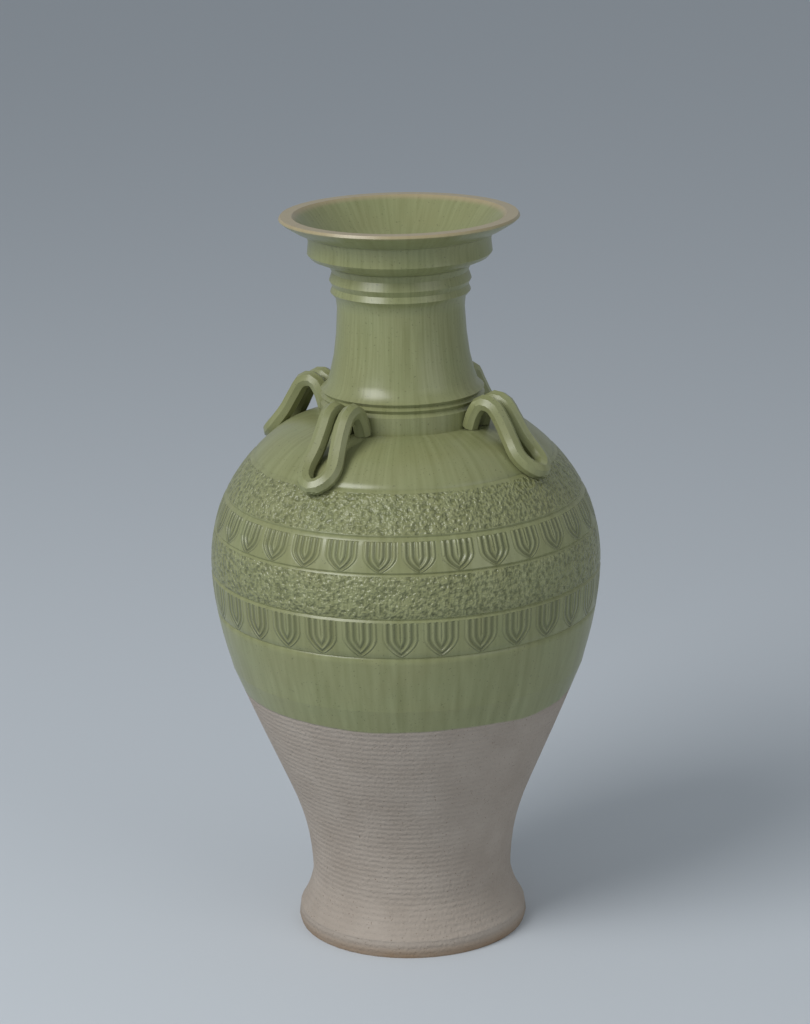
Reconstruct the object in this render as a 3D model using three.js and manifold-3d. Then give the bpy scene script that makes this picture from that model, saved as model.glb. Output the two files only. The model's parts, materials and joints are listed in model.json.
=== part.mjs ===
// Dish-mouth vase: thrown stoneware with a dished mouth, a ringed neck and four looped lugs.
// Millimetres, +Z up, origin at the middle of the foot's underside.
import * as THREE from "three";
import { mergeVertices } from "three/addons/utils/BufferGeometryUtils.js";
import Module from "manifold-3d";

const wasm = await Module();
wasm.setup();

// Heights of the seams where the thrown sections are luted together
const baseThickness = 10;
const bellySeamHeight = 162;
const collarHeight = 304;
const dishSeamHeight = 392;
const totalHeight = 420;

// Radii of the outside
const footRadius = 66.9;
const footEdgeRounding = 1.1;
const waistRadius = 58.1;
const bellySeamRadius = 101.4;
const bellyRadius = 111.5;
const shoulderFootRadius = 53;
const collarRadius = 46.8;
const neckRadius = 35.9;
const dishFloorRadius = 51.9;
const lipRadius = 67.4;

// Wall, incised lines and neck ribs
const wall = 6.5;
const neckWall = 6;
const grooveDepth = 0.9;
const grooveHalfWidth = 1.2;
const grooveHeights = [195.3, 217.9, 242.9, 261.7, 283.7];
const ribHeight = 3;

// Lugs: one clay coil folded double and pressed to the shoulder
const lugCount = 4;
const strandRadius = 4.8;
const strandSpacing = 12;
const loopWidth = 17;
const clearance = 0.3;

const segments = 48;
const clay = { color: 0x9c8f84, roughness: 0.85, metalness: 0 };
const glaze = { color: 0x7f8a55, roughness: 0.3, metalness: 0 };

const group = new THREE.Group();

function material(look) {
  return new THREE.MeshStandardMaterial(look);
}

// Turns a closed or axis-to-axis profile of [radius, height] points round the Z axis.
function turned(profile) {
  const points = profile.map(([r, z]) => new THREE.Vector2(r, z));
  return new THREE.LatheGeometry(points, segments).rotateX(Math.PI / 2);
}

// A smooth line through a few [radius, height] points, in the given number of steps.
function smooth(points, steps) {
  const curve = new THREE.CatmullRomCurve3(
    points.map(([r, z]) => new THREE.Vector3(r, 0, z)),
    false,
    "centripetal",
  );
  return curve.getPoints(steps).map((p) => [p.x, p.z]);
}

function add(name, geometry, look) {
  const mesh = new THREE.Mesh(geometry, material(look));
  mesh.name = name;
  group.add(mesh);
}

function solid(geometry) {
  const bare = new THREE.BufferGeometry();
  bare.setAttribute("position", geometry.getAttribute("position").clone());
  if (geometry.index) bare.setIndex(geometry.index.clone());
  const merged = mergeVertices(bare, 1e-3);
  return new wasm.Manifold(
    new wasm.Mesh({
      numProp: 3,
      vertProperties: merged.attributes.position.array,
      triVerts: new Uint32Array(merged.index.array),
    }),
  );
}

function geometryOf(made) {
  const mesh = made.getMesh();
  return new THREE.BufferGeometry()
    .setAttribute("position", new THREE.BufferAttribute(mesh.vertProperties, 3))
    .setIndex(new THREE.BufferAttribute(mesh.triVerts, 1));
}

// Outside of the lower section: flared foot edge, narrow waist, swelling side
const lowerOutside = smooth(
  [
    [footRadius - 0.9, baseThickness],
    [waistRadius + 4.5, baseThickness + 6],
    [waistRadius + 0.4, 28],
    [waistRadius, 35],
    [waistRadius + 2, 54.6],
    [waistRadius + 7.4, 75.6],
    [waistRadius + 17.7, 100.8],
    [waistRadius + 28.5, 126],
    [bellySeamRadius, bellySeamHeight],
  ],
  20,
);

// Outside of the upper section: full belly, rounded shoulder, step below the collar
const upperOutside = smooth(
  [
    [bellySeamRadius, bellySeamHeight],
    [bellyRadius - 3.3, 189],
    [bellyRadius, 220],
    [bellyRadius - 3.2, 246],
    [bellyRadius - 13.5, 268.8],
    [bellyRadius - 27.2, 285.6],
    [bellyRadius - 41.5, 297.4],
    [shoulderFootRadius, collarHeight],
  ],
  26,
);

// Cuts a shallow V into an outside line at each incised height.
function incised(line) {
  const radiusAt = (z) => {
    const i = Math.max(1, line.findIndex(([, h]) => h >= z));
    const [r0, z0] = line[i - 1];
    const [r1, z1] = line[i];
    return r0 + ((r1 - r0) * (z - z0)) / (z1 - z0);
  };
  const cuts = grooveHeights.flatMap((z) => [
    [radiusAt(z - grooveHalfWidth), z - grooveHalfWidth],
    [radiusAt(z) - grooveDepth, z],
    [radiusAt(z + grooveHalfWidth), z + grooveHalfWidth],
  ]);
  const clearOfCuts = ([, z]) => grooveHeights.every((h) => Math.abs(h - z) > 2 * grooveHalfWidth);
  return [...line.filter(clearOfCuts), ...cuts].sort((a, b) => a[1] - b[1]);
}

const neckOutside = [
  [collarRadius, collarHeight],
  [collarRadius, collarHeight + 10],
  [collarRadius - 2, collarHeight + 12],
  [collarRadius - 0.4, collarHeight + 14],
  [collarRadius - 2.4, collarHeight + 15.5],
  [collarRadius - 0.6, collarHeight + 17.5],
  [collarRadius - 4, collarHeight + 20.5],
  [neckRadius + 5, 330],
  [neckRadius + 2.6, 340],
  [neckRadius + 0.9, 353],
  [neckRadius, 368],
  [neckRadius + 0.6, 373.5],
  [neckRadius + ribHeight + 0.5, 377],
  [neckRadius + ribHeight - 0.8, 380.3],
  [neckRadius + ribHeight + 1, 383.5],
  [neckRadius + ribHeight - 0.6, 388.3],
  [neckRadius + 4.1, dishSeamHeight],
];

const dishOutside = [
  [neckRadius + 4.1, dishSeamHeight],
  [neckRadius + 5.6, dishSeamHeight + 1],
  [dishFloorRadius - 2, 396.6],
  [dishFloorRadius, 399],
  [dishFloorRadius - 0.7, 406],
  [dishFloorRadius + 0.3, 409.5],
  [lipRadius - 8.4, 412.8],
  [lipRadius - 1.6, 417],
  [lipRadius, 418.5],
  [lipRadius - 0.9, totalHeight],
];

// The inner line lies one wall inside the outer one, from top to bottom.
function insideOf(line, thickness, every) {
  return line
    .filter((_, i) => i % every === 0 || i === line.length - 1)
    .map(([r, z]) => [r - thickness, z])
    .reverse();
}

function closed(profile) {
  return [...profile, profile[0]];
}

const neckBore = neckRadius - neckWall;

const baseProfile = [
  [0, 0],
  [footRadius - footEdgeRounding, 0],
  [footRadius, 3.5],
  [footRadius - 0.9, baseThickness],
  [0, baseThickness],
];
add("base_disc", turned(baseProfile), clay);
add("lower_body", turned(closed([...lowerOutside, ...insideOf(lowerOutside, wall, 2)])), clay);

const upperInside = insideOf(upperOutside, wall, 2);
upperInside[0] = [collarRadius - wall, collarHeight];
add("upper_body", turned(closed([...incised(upperOutside), ...upperInside])), glaze);

const neckInside = [
  [neckBore, dishSeamHeight],
  [neckBore, 345],
  [collarRadius - wall, collarHeight + 8],
  [collarRadius - wall, collarHeight],
];
add("neck", turned(closed([...neckOutside, ...neckInside])), glaze);

const dishInside = [
  [lipRadius - 7.4, totalHeight],
  [lipRadius - 12, 416],
  [dishFloorRadius - wall + 1, 405],
  [dishFloorRadius - 2 * wall, 400.5],
  [neckBore + 3, 398.5],
  [neckBore, 395],
  [neckBore, dishSeamHeight],
];
add("dish_mouth", turned(closed([...dishOutside, ...dishInside])), glaze);

// The body and neck with the clearance added, which each lug is pressed against
const pressed = [...upperOutside, ...neckOutside].map(([r, z]) => [r + clearance, z + clearance]);
const former = solid(turned([[0, bellySeamHeight], ...pressed, [0, dishSeamHeight + clearance]]));

// One strand of the folded coil, from its root on the collar to the loop on the shoulder
const strand = [
  [collarRadius + 2, strandSpacing / 2, collarHeight + 1],
  [collarRadius + 5, strandSpacing / 2, collarHeight + 9.5],
  [collarRadius + 10, strandSpacing / 2, collarHeight + 15.5],
  [collarRadius + 17, strandSpacing / 2, collarHeight + 14.5],
  [collarRadius + 23, strandSpacing / 2, collarHeight + 6.5],
  [collarRadius + 29, loopWidth / 2 - 1.5, collarHeight - 3.5],
  [collarRadius + 35, loopWidth / 2, collarHeight - 11.5],
  [collarRadius + 41, loopWidth / 2 - 2, collarHeight - 17],
];
const loopEnd = [collarRadius + 44.5, 0, collarHeight - 20];
const farStrand = strand.map(([x, y, z]) => [x, -y, z]).reverse();
const lugPath = new THREE.CatmullRomCurve3(
  [...strand, loopEnd, ...farStrand].map(([x, y, z]) => new THREE.Vector3(x, y, z)),
);
const strandSection = new THREE.Shape(
  new THREE.EllipseCurve(0, 0, strandRadius, strandRadius).getPoints(8).slice(0, -1),
);
const lugBlank = new THREE.ExtrudeGeometry(strandSection, {
  steps: 40,
  bevelEnabled: false,
  extrudePath: lugPath,
});

const lugNames = ["lug_right", "lug_back", "lug_left", "lug_front"];
for (let i = 0; i < lugCount; i++) {
  const blank = lugBlank.clone().rotateZ((i * 2 * Math.PI) / lugCount);
  const bodies = solid(blank).subtract(former).decompose();
  const largest = bodies.reduce((a, b) => (a.volume() > b.volume() ? a : b));
  add(lugNames[i] ?? "lug_" + (i + 1), geometryOf(largest), glaze);
}

export default group;
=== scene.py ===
import json
import math
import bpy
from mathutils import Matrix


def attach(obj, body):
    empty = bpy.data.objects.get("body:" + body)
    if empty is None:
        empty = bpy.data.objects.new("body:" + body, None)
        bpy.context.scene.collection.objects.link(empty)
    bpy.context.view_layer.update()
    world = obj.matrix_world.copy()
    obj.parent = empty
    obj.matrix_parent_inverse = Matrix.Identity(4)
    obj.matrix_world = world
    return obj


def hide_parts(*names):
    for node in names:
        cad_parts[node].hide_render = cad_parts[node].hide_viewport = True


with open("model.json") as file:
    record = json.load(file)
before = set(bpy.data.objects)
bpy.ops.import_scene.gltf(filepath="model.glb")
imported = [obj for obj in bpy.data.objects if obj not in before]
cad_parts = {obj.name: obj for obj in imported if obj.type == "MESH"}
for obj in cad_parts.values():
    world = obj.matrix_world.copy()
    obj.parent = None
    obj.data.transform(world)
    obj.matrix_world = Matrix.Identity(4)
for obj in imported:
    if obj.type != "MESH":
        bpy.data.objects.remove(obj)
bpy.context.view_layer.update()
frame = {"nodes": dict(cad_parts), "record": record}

from types import SimpleNamespace

import bmesh
import bpy
from mathutils import Euler, Matrix, Vector

# Heights on the vase, in metres
GLAZE_EDGE = 0.147
WORN_LIP = (0.4170, 0.4198)
FOOT_STAIN = (0.009, 0.001)
UPPER_PETALS = (0.2440, 0.2600)
LOWER_PETALS = (0.1965, 0.2165)
GRANULAR_BANDS = ((0.2185, 0.2420), (0.2630, 0.2825))

# Softness and wander of those edges, in metres
GLAZE_EDGE_SOFTNESS = 0.0006
GLAZE_EDGE_WANDER = 0.014
BAND_EDGE = 0.0004

# The stamped and incised ornament
PETALS_AROUND = 31
PETAL_RING_RATE = 38.0
PETAL_OUTLINE = (0.40, 0.46)
PETAL_TIP_START = 0.55
PETAL_TIP_SHARPNESS = 1.2
GRAIN_HEIGHT = 5.0

# Noise scales, per metre; the streaks are stretched by their own, per radian and per metre
STREAKS_AROUND = 8.0
STREAKS_UP = 9.0
STREAK_SCALE = 3.0
MOTTLE_SCALE = 45.0
SPECK_SCALE = 900.0
WANDER_SCALE = 9.0
GRAIN_SCALE = 420.0
CLAY_PIT_SCALE = 520.0
THROWING_LINE_RATE = 1900.0

# Colours of the glaze and the clay, linear
GLAZE_THICK = (0.150, 0.170, 0.062, 1)
GLAZE_THIN = (0.330, 0.360, 0.190, 1)
GLAZE_BROWN = (0.240, 0.200, 0.085, 1)
GLAZE_POOLED = (0.075, 0.085, 0.028, 1)
GLAZE_SPECK = (0.050, 0.045, 0.020, 1)
LIP_WEAR = (0.420, 0.310, 0.200, 1)
CLAY_DARK = (0.300, 0.250, 0.205, 1)
CLAY_PALE = (0.440, 0.385, 0.330, 1)
CLAY_SPECK = (0.120, 0.085, 0.055, 1)
CLAY_STAIN = (0.230, 0.130, 0.050, 1)

# Shares of each colour, and the values between which it comes in
BROWN_SHARE = 0.35
POOLED_HEIGHTS = (0.2, -0.9)
POOLED_SHARE = 0.55
SPECK_CUT = (0.66, 0.72)
GLAZE_SPECK_SHARE = 0.5
CLAY_SPECK_SHARE = 0.6
LIP_WANDER_SHARE = 0.2
LIP_WEAR_SHARE = 0.6

# Roughness and relief
ORNAMENT_HEIGHT = 0.7
MOTTLE_HEIGHT = 0.25
THROWING_LINE_HEIGHT = 0.12
CLAY_ROUGHNESS = 0.85
GLAZE_SMOOTHING = 0.55
BUMP_DEPTH = 0.0007
GLAZE_RAISED = 0.6
SHARP_ANGLE = math.radians(40)
WELD_DISTANCE = 1e-6

# The camera, as fitted to the photograph
CAMERA_AZIMUTH = math.radians(33.8)
CAMERA_DISTANCE = 1.7167
CAMERA_HEIGHT = 0.7406
CAMERA_PITCH = math.radians(16.035)
CAMERA_ROLL = math.radians(-1.143)
CAMERA_LENS = 109.9
SENSOR_WIDTH = 36

# The studio
FLOOR_HALF_SIDE = 6.0
FLOOR_COLOUR = (0.56, 0.60, 0.64, 1)
FLOOR_ROUGHNESS = 0.9
WORLD_COLOUR = (0.60, 0.64, 0.68, 1)
WORLD_STRENGTH = 0.55
LAMP_TARGET = Vector((0, 0, 0.22))


class Graph:
    """A node material with short calls for its nodes."""

    def __init__(self, name):
        self.material = bpy.data.materials.new(name)
        self.material.use_nodes = True
        self.tree = self.material.node_tree
        self.shader = self.tree.nodes["Principled BSDF"]

    def link(self, value, socket):
        if isinstance(value, bpy.types.NodeSocket):
            self.tree.links.new(value, socket)
        else:
            socket.default_value = value

    def math(self, operation, a, b=0.0):
        node = self.tree.nodes.new("ShaderNodeMath")
        node.operation = operation
        self.link(a, node.inputs[0])
        self.link(b, node.inputs[1])
        return node.outputs[0]

    def scaled(self, value, factor):
        return self.math("MULTIPLY", value, factor)

    def step(self, value, start, end):
        """Smoothly 0 to 1 as value goes from start to end, whichever of the two is lower."""
        node = self.tree.nodes.new("ShaderNodeMapRange")
        node.interpolation_type = "SMOOTHSTEP"
        self.link(value, node.inputs["Value"])
        node.inputs["From Min"].default_value = start
        node.inputs["From Max"].default_value = end
        return node.outputs["Result"]

    def noise(self, vector, scale, detail):
        node = self.tree.nodes.new("ShaderNodeTexNoise")
        self.link(vector, node.inputs["Vector"])
        node.inputs["Scale"].default_value = scale
        node.inputs["Detail"].default_value = detail
        return node.outputs["Fac"]

    def mix(self, factor, a, b):
        node = self.tree.nodes.new("ShaderNodeMix")
        node.data_type = "RGBA"
        self.link(factor, node.inputs[0])
        self.link(a, node.inputs[6])
        self.link(b, node.inputs[7])
        return node.outputs[2]


def surface_fields(g):
    """What every part of the vase's material reads: its coordinates and its shared noises."""
    coords = g.tree.nodes.new("ShaderNodeTexCoord").outputs["Object"]
    split = g.tree.nodes.new("ShaderNodeSeparateXYZ")
    g.link(coords, split.inputs[0])
    x, y, z = split.outputs
    centred = g.math("SUBTRACT", g.noise(coords, WANDER_SCALE, 2.0), 0.5)
    return SimpleNamespace(
        coords=coords,
        z=z,
        angle=g.math("ARCTAN2", y, x),
        mottle=g.noise(coords, MOTTLE_SCALE, 6.0),
        specks=g.step(g.noise(coords, SPECK_SCALE, 2.0), *SPECK_CUT),
        wander=g.scaled(centred, GLAZE_EDGE_WANDER),
    )


def band(g, z, low, high):
    """1 between two heights."""
    return g.math("MULTIPLY", g.step(z, low, low + BAND_EDGE), g.step(z, high, high - BAND_EDGE))


def petals(g, turn, z, low, high):
    """Nested lines of rounded petals, hanging between two heights, one to each whole turn."""
    across = g.math("ABSOLUTE", g.math("SUBTRACT", g.math("FRACT", turn), 0.5))
    down = g.math("DIVIDE", g.math("SUBTRACT", z, low), high - low)
    below = g.math("MAXIMUM", g.math("SUBTRACT", PETAL_TIP_START, down), 0.0)
    tip = g.scaled(g.math("POWER", below, 2.0), PETAL_TIP_SHARPNESS)
    edge = g.math("ADD", across, tip)
    rings = g.math("SINE", g.scaled(edge, PETAL_RING_RATE))
    inside = g.math("SUBTRACT", 1.0, g.step(edge, *PETAL_OUTLINE))
    return g.math("MULTIPLY", g.math("MULTIPLY", rings, inside), band(g, z, low, high))


def ornament(g, at):
    """The two petal bands and the granular bands, as a height."""
    turn = g.scaled(at.angle, PETALS_AROUND / math.tau)
    half_turn_on = g.math("ADD", turn, 0.5)
    upper = petals(g, turn, at.z, *UPPER_PETALS)
    lower = petals(g, half_turn_on, at.z, *LOWER_PETALS)
    height = g.math("ADD", upper, lower)
    grains = g.math("SUBTRACT", g.noise(at.coords, GRAIN_SCALE, 1.0), 0.5)
    raised_grains = g.scaled(grains, GRAIN_HEIGHT)
    for low, high in GRANULAR_BANDS:
        height = g.math("ADD", height, g.math("MULTIPLY", raised_grains, band(g, at.z, low, high)))
    return height


def glaze_colour(g, at, pattern):
    """Streaked olive green, darker where it pools in the ornament, worn at the lip."""
    streak_space = g.tree.nodes.new("ShaderNodeCombineXYZ")
    g.link(g.scaled(at.angle, STREAKS_AROUND), streak_space.inputs[0])
    g.link(g.scaled(at.z, STREAKS_UP), streak_space.inputs[1])
    streaks = g.noise(streak_space.outputs[0], STREAK_SCALE, 4.0)
    colour = g.mix(streaks, GLAZE_THICK, GLAZE_THIN)
    colour = g.mix(g.scaled(at.mottle, BROWN_SHARE), colour, GLAZE_BROWN)
    pooled = g.step(pattern, *POOLED_HEIGHTS)
    colour = g.mix(g.scaled(pooled, POOLED_SHARE), colour, GLAZE_POOLED)
    colour = g.mix(g.scaled(at.specks, GLAZE_SPECK_SHARE), colour, GLAZE_SPECK)
    worn = g.step(g.math("ADD", at.z, g.scaled(at.wander, LIP_WANDER_SHARE)), *WORN_LIP)
    return g.mix(g.scaled(worn, LIP_WEAR_SHARE), colour, LIP_WEAR)


def clay_colour(g, at):
    """Mottled stoneware with dark specks, stained at the foot's edge."""
    colour = g.mix(at.mottle, CLAY_DARK, CLAY_PALE)
    colour = g.mix(g.scaled(at.specks, CLAY_SPECK_SHARE), colour, CLAY_SPECK)
    stained = g.math("MULTIPLY", g.step(at.z, *FOOT_STAIN), at.mottle)
    return g.mix(stained, colour, CLAY_STAIN)


def relief(g, at, pattern, glazed):
    """Ornament under the glaze, pits and throwing lines on the bare clay."""
    waves = g.math("SINE", g.scaled(at.z, THROWING_LINE_RATE))
    throwing = g.scaled(waves, THROWING_LINE_HEIGHT)
    clay = g.math("ADD", g.noise(at.coords, CLAY_PIT_SCALE, 4.0), throwing)
    raised = g.scaled(pattern, ORNAMENT_HEIGHT)
    glaze = g.math("ADD", raised, g.scaled(at.mottle, MOTTLE_HEIGHT))
    bare = g.math("SUBTRACT", 1.0, glazed)
    return g.math(
        "ADD",
        g.math("MULTIPLY", glazed, g.math("ADD", glaze, GLAZE_RAISED)),
        g.math("MULTIPLY", bare, clay),
    )


def vase_material():
    g = Graph("glaze_over_stoneware")
    at = surface_fields(g)
    pattern = ornament(g, at)
    edge_height = g.math("ADD", at.z, at.wander)
    start = GLAZE_EDGE - GLAZE_EDGE_SOFTNESS
    end = GLAZE_EDGE + GLAZE_EDGE_SOFTNESS
    glazed = g.step(edge_height, start, end)
    colour = g.mix(glazed, clay_colour(g, at), glaze_colour(g, at, pattern))
    g.link(colour, g.shader.inputs["Base Color"])
    roughness = g.math("SUBTRACT", CLAY_ROUGHNESS, g.scaled(glazed, GLAZE_SMOOTHING))
    g.link(roughness, g.shader.inputs["Roughness"])
    bump = g.tree.nodes.new("ShaderNodeBump")
    bump.inputs["Distance"].default_value = BUMP_DEPTH
    g.link(relief(g, at, pattern, glazed), bump.inputs["Height"])
    g.link(bump.outputs[0], g.shader.inputs["Normal"])
    return g.material


def dress(node, material):
    """A smooth-shaded piece in the place of a CAD node."""
    work = bmesh.new()
    work.from_mesh(frame["nodes"][node].data)
    bmesh.ops.remove_doubles(work, verts=work.verts, dist=WELD_DISTANCE)
    for face in work.faces:
        face.smooth = True
    for edge in work.edges:
        edge.smooth = edge.calc_face_angle(math.pi) < SHARP_ANGLE
    mesh = bpy.data.meshes.new(node + "_dressed")
    work.to_mesh(mesh)
    work.free()
    mesh.materials.append(material)
    piece = bpy.data.objects.new(node + "_dressed", mesh)
    bpy.context.scene.collection.objects.link(piece)
    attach(piece, "root")
    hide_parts(node)


def make_floor():
    g = Graph("pale_floor")
    g.shader.inputs["Base Color"].default_value = FLOOR_COLOUR
    g.shader.inputs["Roughness"].default_value = FLOOR_ROUGHNESS
    half = FLOOR_HALF_SIDE
    corners = [(-half, -half, 0), (half, -half, 0), (half, half, 0), (-half, half, 0)]
    mesh = bpy.data.meshes.new("floor")
    mesh.from_pydata(corners, [], [(0, 1, 2, 3)])
    mesh.materials.append(g.material)
    floor = bpy.data.objects.new("floor", mesh)
    bpy.context.scene.collection.objects.link(floor)


def add_lamp(name, right, ahead, up, size, power):
    """A soft lamp aimed at the vase. right, ahead and up count from the foot, as the camera faces it."""
    data = bpy.data.lights.new(name, "AREA")
    data.size = size
    data.energy = power
    lamp = bpy.data.objects.new(name, data)
    lamp.location = Matrix.Rotation(CAMERA_AZIMUTH, 3, "Z") @ Vector((right, ahead, up))
    aim = LAMP_TARGET - lamp.location
    lamp.rotation_euler = aim.to_track_quat("-Z", "Y").to_euler()
    bpy.context.scene.collection.objects.link(lamp)


def make_world():
    world = bpy.data.worlds.new("studio")
    world.use_nodes = True
    background = world.node_tree.nodes["Background"]
    background.inputs["Color"].default_value = WORLD_COLOUR
    background.inputs["Strength"].default_value = WORLD_STRENGTH
    bpy.context.scene.world = world


def make_camera():
    data = bpy.data.cameras.new("camera")
    data.sensor_width = SENSOR_WIDTH
    data.lens = CAMERA_LENS
    camera = bpy.data.objects.new("camera", data)
    camera.matrix_world = (
        Matrix.Rotation(CAMERA_AZIMUTH, 4, "Z")
        @ Matrix.Translation((0, -CAMERA_DISTANCE, CAMERA_HEIGHT))
        @ Euler((math.pi / 2 - CAMERA_PITCH, 0, 0)).to_matrix().to_4x4()
        @ Matrix.Rotation(CAMERA_ROLL, 4, "Z")
    )
    bpy.context.scene.collection.objects.link(camera)
    bpy.context.scene.camera = camera


material = vase_material()
for entry in frame["record"]["subparts"]:
    dress(entry["node"], material)

make_floor()
add_lamp("key", right=-1.3, ahead=-1.1, up=1.6, size=1.2, power=34)
add_lamp("fill", right=1.6, ahead=-1.4, up=1.0, size=1.6, power=7)
make_camera()
make_world()
bpy.context.scene.view_settings.view_transform = "Standard"
